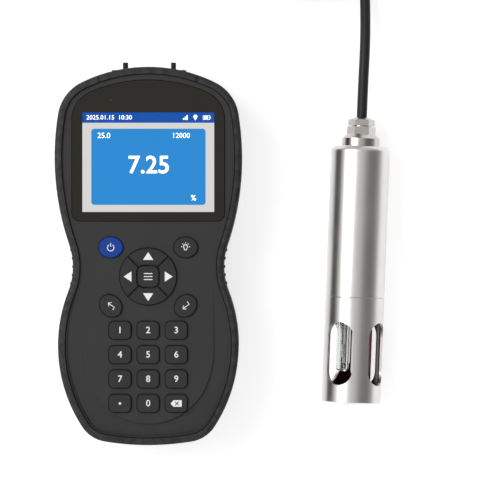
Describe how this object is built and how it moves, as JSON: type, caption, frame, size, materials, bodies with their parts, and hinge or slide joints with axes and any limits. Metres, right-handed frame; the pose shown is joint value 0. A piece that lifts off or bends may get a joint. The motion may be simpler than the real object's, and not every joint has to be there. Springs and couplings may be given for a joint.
{
  "type": "handheld water quality meter with immersion probe",
  "caption": "Handheld meter in a rubber boot, with colour screen and keypad, and a steel immersion probe on a coiled cable with a plug.",
  "frame": {"origin": "middle of the handset's flat back face", "axes": "+Y along the handset towards its sockets, +Z out of the screen, +X to the right of the screen"},
  "size_m": [0.1807, 0.3227, 0.042],
  "materials": {
    "boot_rubber": "matt moulded rubber",
    "shell_plastic": "fine spark texture",
    "seal_rubber": "smooth",
    "screw_steel": "plated",
    "battery_wrap": "shrink wrap",
    "window_glass": "clear acrylic printed black behind",
    "screen": "lit colour screen",
    "mat_silicone": "silicone",
    "switch_metal": "snap domes",
    "board": "circuit board",
    "socket_metal": "nickel plated",
    "insert_plastic": "moulded insulator",
    "cap_rubber": "soft rubber",
    "key_rubber": "matt, with white legends",
    "power_blue": "blue, matt",
    "probe_steel": "fine turned satin",
    "gland_metal": "nickel plated brass",
    "head_plastic": "turned black plastic",
    "electrode_glass": "clear glass",
    "wire_silver": "silver",
    "cell_red": "dark red",
    "sensor_steel": "polished",
    "cable_jacket": "matt jacket",
    "tie_fabric": "hook and loop strap",
    "plug_plastic": "moulded"
  },
  "bodies": {
    "handset": {"rubber_boot": "boot_rubber", "front_shell": "shell_plastic", "rear_shell": "shell_plastic", "shell_gasket": "seal_rubber", "case_screws": "screw_steel", "door_screws": "screw_steel", "battery_door": "shell_plastic", "battery_pack": "battery_wrap", "display_window": "window_glass", "lcd_module": "screen", "keypad_mat": "mat_silicone", "dome_switches": "switch_metal", "main_board": "board", "port_plate": "shell_plastic", "socket_shells": "socket_metal", "socket_inserts": "insert_plastic"},
    "key_power": {"key_power": "power_blue"},
    "key_lamp": {"key_lamp": "key_rubber"},
    "key_escape": {"key_escape": "key_rubber"},
    "key_enter": {"key_enter": "key_rubber"},
    "key_up": {"key_up": "key_rubber"},
    "key_left": {"key_left": "key_rubber"},
    "key_down": {"key_down": "key_rubber"},
    "key_right": {"key_right": "key_rubber"},
    "key_menu": {"key_menu": "key_rubber"},
    "key_1": {"key_1": "key_rubber"},
    "key_2": {"key_2": "key_rubber"},
    "key_3": {"key_3": "key_rubber"},
    "key_4": {"key_4": "key_rubber"},
    "key_5": {"key_5": "key_rubber"},
    "key_6": {"key_6": "key_rubber"},
    "key_7": {"key_7": "key_rubber"},
    "key_8": {"key_8": "key_rubber"},
    "key_9": {"key_9": "key_rubber"},
    "key_dot": {"key_dot": "key_rubber"},
    "key_0": {"key_0": "key_rubber"},
    "key_delete": {"key_delete": "key_rubber"},
    "port_cap_left": {"port_cap_left": "cap_rubber"},
    "port_cap_right": {"port_cap_right": "cap_rubber"},
    "probe": {"probe_body": "probe_steel", "seal_rings": "seal_rubber", "cable_collar": "probe_steel", "gland_body": "gland_metal", "gland_nut": "gland_metal", "gland_seal": "seal_rubber", "sensor_head": "head_plastic", "glass_electrode": "electrode_glass", "electrode_wire": "wire_silver", "measuring_cell": "cell_red", "temperature_sensor": "sensor_steel", "probe_board": "board", "cable_lead": "cable_jacket", "cable_coil": "cable_jacket", "coil_tie": "tie_fabric", "cable_tail": "cable_jacket", "plug_body": "plug_plastic", "plug_contacts": "insert_plastic"},
    "sensor_guard": {"sensor_guard": "probe_steel"},
    "plug_ring": {"plug_ring": "socket_metal"}
  },
  "joints": [
    {"name": "key_power_press", "type": "slide", "parent": "handset", "child": "key_power", "axis": [0, 0, -1], "range_m": [0, 0.0008], "stiffness_N_per_m": 900},
    {"name": "key_lamp_press", "type": "slide", "parent": "handset", "child": "key_lamp", "axis": [0, 0, -1], "range_m": [0, 0.0008], "stiffness_N_per_m": 900},
    {"name": "key_escape_press", "type": "slide", "parent": "handset", "child": "key_escape", "axis": [0, 0, -1], "range_m": [0, 0.0008], "stiffness_N_per_m": 900},
    {"name": "key_enter_press", "type": "slide", "parent": "handset", "child": "key_enter", "axis": [0, 0, -1], "range_m": [0, 0.0008], "stiffness_N_per_m": 900},
    {"name": "key_up_press", "type": "slide", "parent": "handset", "child": "key_up", "axis": [0, 0, -1], "range_m": [0, 0.0008], "stiffness_N_per_m": 900},
    {"name": "key_left_press", "type": "slide", "parent": "handset", "child": "key_left", "axis": [0, 0, -1], "range_m": [0, 0.0008], "stiffness_N_per_m": 900},
    {"name": "key_down_press", "type": "slide", "parent": "handset", "child": "key_down", "axis": [0, 0, -1], "range_m": [0, 0.0008], "stiffness_N_per_m": 900},
    {"name": "key_right_press", "type": "slide", "parent": "handset", "child": "key_right", "axis": [0, 0, -1], "range_m": [0, 0.0008], "stiffness_N_per_m": 900},
    {"name": "key_menu_press", "type": "slide", "parent": "handset", "child": "key_menu", "axis": [0, 0, -1], "range_m": [0, 0.0008], "stiffness_N_per_m": 900},
    {"name": "key_1_press", "type": "slide", "parent": "handset", "child": "key_1", "axis": [0, 0, -1], "range_m": [0, 0.0008], "stiffness_N_per_m": 900},
    {"name": "key_2_press", "type": "slide", "parent": "handset", "child": "key_2", "axis": [0, 0, -1], "range_m": [0, 0.0008], "stiffness_N_per_m": 900},
    {"name": "key_3_press", "type": "slide", "parent": "handset", "child": "key_3", "axis": [0, 0, -1], "range_m": [0, 0.0008], "stiffness_N_per_m": 900},
    {"name": "key_4_press", "type": "slide", "parent": "handset", "child": "key_4", "axis": [0, 0, -1], "range_m": [0, 0.0008], "stiffness_N_per_m": 900},
    {"name": "key_5_press", "type": "slide", "parent": "handset", "child": "key_5", "axis": [0, 0, -1], "range_m": [0, 0.0008], "stiffness_N_per_m": 900},
    {"name": "key_6_press", "type": "slide", "parent": "handset", "child": "key_6", "axis": [0, 0, -1], "range_m": [0, 0.0008], "stiffness_N_per_m": 900},
    {"name": "key_7_press", "type": "slide", "parent": "handset", "child": "key_7", "axis": [0, 0, -1], "range_m": [0, 0.0008], "stiffness_N_per_m": 900},
    {"name": "key_8_press", "type": "slide", "parent": "handset", "child": "key_8", "axis": [0, 0, -1], "range_m": [0, 0.0008], "stiffness_N_per_m": 900},
    {"name": "key_9_press", "type": "slide", "parent": "handset", "child": "key_9", "axis": [0, 0, -1], "range_m": [0, 0.0008], "stiffness_N_per_m": 900},
    {"name": "key_dot_press", "type": "slide", "parent": "handset", "child": "key_dot", "axis": [0, 0, -1], "range_m": [0, 0.0008], "stiffness_N_per_m": 900},
    {"name": "key_0_press", "type": "slide", "parent": "handset", "child": "key_0", "axis": [0, 0, -1], "range_m": [0, 0.0008], "stiffness_N_per_m": 900},
    {"name": "key_delete_press", "type": "slide", "parent": "handset", "child": "key_delete", "axis": [0, 0, -1], "range_m": [0, 0.0008], "stiffness_N_per_m": 900},
    {"name": "port_cap_left_hinge", "type": "hinge", "parent": "handset", "child": "port_cap_left", "pos_m": [-0.013, 0.09925, 0.0141], "axis": [-1, 0, 0], "range_deg": [0, 100]},
    {"name": "port_cap_right_hinge", "type": "hinge", "parent": "handset", "child": "port_cap_right", "pos_m": [0.013, 0.09925, 0.0141], "axis": [-1, 0, 0], "range_deg": [0, 100]},
    {"name": "probe_lift", "type": "slide", "parent": "handset", "child": "probe", "axis": [0, 0, 1], "range_m": [0, 0.12]},
    {"name": "guard_pull", "type": "slide", "parent": "probe", "child": "sensor_guard", "axis": [-0.0384, -0.9993, 0], "range_m": [0, 0.06]},
    {"name": "plug_ring_turn", "type": "hinge", "parent": "probe", "child": "plug_ring", "pos_m": [-0.03458, 0.17024, 0.0071], "axis": [-0.8625, -0.506, 0], "continuous": true}
  ]
}
